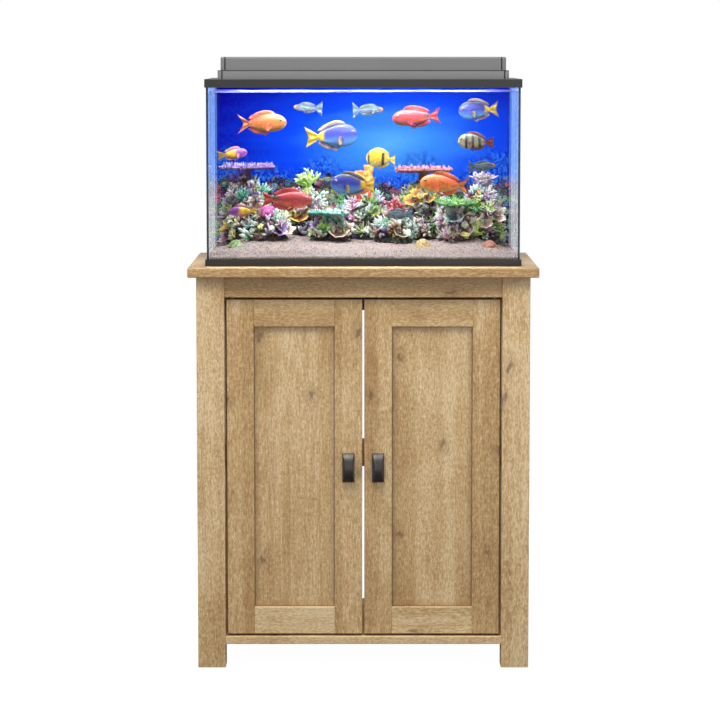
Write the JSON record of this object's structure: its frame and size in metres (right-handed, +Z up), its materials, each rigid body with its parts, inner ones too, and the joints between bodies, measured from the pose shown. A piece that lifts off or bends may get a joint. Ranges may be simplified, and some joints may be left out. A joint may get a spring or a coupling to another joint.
{
  "type": "aquarium on stand",
  "caption": "Framed glass aquarium with gravel and a coral reef under a hinged light hood, standing on a rustic oak cabinet with inset panelled doors, dark pulls and a loose shelf.",
  "frame": {"origin": "on the floor under the middle of the stand", "axes": "+Z up, -Y towards the viewer in front of the doors, +X to the viewer's right"},
  "size_m": [0.68, 0.4, 1.1968],
  "materials": {
    "oak": "matte, knotty rustic oak grain",
    "steel": "zinc plated",
    "zinc": "die cast",
    "nylon": "natural",
    "bronze": "dark bronze, satin",
    "dark_plastic": "satin moulded",
    "magnet": "ferrite",
    "tank_glass": "clear float glass",
    "silicone": "translucent",
    "background": null,
    "gravel": "loose speckled gravel",
    "rock": "rough, encrusted",
    "brain_coral": "grooved, matte",
    "branch_coral": "rough, matte",
    "table_coral": "rough, matte",
    "sponge": "porous, matte",
    "hood_plastic": "fine texture",
    "pin_steel": "drawn",
    "board": "white circuit board",
    "lens": "frosted lens, lit"
  },
  "bodies": {
    "cabinet": {"top_board": "oak", "left_front_leg": "oak", "right_front_leg": "oak", "left_rear_leg": "oak", "right_rear_leg": "oak", "left_side_panel": "oak", "right_side_panel": "oak", "bottom_panel": "oak", "middle_shelf": "oak", "front_apron": "oak", "rear_stretcher": "oak", "foot_glides": "steel", "cam_fittings": "zinc", "shelf_pins": "steel", "pivot_bushes": "nylon", "magnetic_catch": "dark_plastic", "catch_magnets": "magnet", "tank_base_frame": "dark_plastic", "tank_top_frame": "dark_plastic", "front_glass": "tank_glass", "rear_glass": "tank_glass", "left_glass": "tank_glass", "right_glass": "tank_glass", "bottom_glass": "tank_glass", "silicone_seams": "silicone", "background_sheet": "background", "gravel_bed": "gravel", "reef_rocks": "rock", "brain_corals": "brain_coral", "branch_corals": "branch_coral", "table_corals": "table_coral", "tube_sponges": "sponge", "hood_base": "hood_plastic", "hood_base_end_caps": "hood_plastic", "hood_hinge_pins": "pin_steel"},
    "left_door": {"left_outer_stile": "oak", "left_inner_stile": "oak", "left_top_rail": "oak", "left_bottom_rail": "oak", "left_door_panel": "oak", "left_door_handle": "bronze", "left_handle_screws": "steel", "left_strike_plate": "steel", "left_pivot_pins": "steel"},
    "right_door": {"right_outer_stile": "oak", "right_inner_stile": "oak", "right_top_rail": "oak", "right_bottom_rail": "oak", "right_door_panel": "oak", "right_door_handle": "bronze", "right_handle_screws": "steel", "right_strike_plate": "steel", "right_pivot_pins": "steel"},
    "lid": {"hood_lid": "hood_plastic", "hood_lid_end_caps": "hood_plastic", "led_board": "board", "led_lens": "lens", "switch_housing": "dark_plastic", "power_inlet": "dark_plastic"},
    "rocker": {"light_switch": "dark_plastic"}
  },
  "joints": [
    {"name": "left_door_swing", "type": "hinge", "parent": "cabinet", "child": "left_door", "pos_m": [-0.255, -0.167, 0.398], "axis": [0, 0, -1], "range_deg": [0, 105]},
    {"name": "right_door_swing", "type": "hinge", "parent": "cabinet", "child": "right_door", "pos_m": [0.255, -0.167, 0.398], "axis": [0, 0, 1], "range_deg": [0, 105]},
    {"name": "lid_lift", "type": "hinge", "parent": "cabinet", "child": "lid", "pos_m": [0, 0.13, 1.175], "axis": [-1, 0, 0], "range_deg": [0, 90]},
    {"name": "switch_rock", "type": "hinge", "parent": "lid", "child": "rocker", "pos_m": [0.06, 0.124, 1.1838], "axis": [0, 0, -1], "range_deg": [0, 16]}
  ]
}
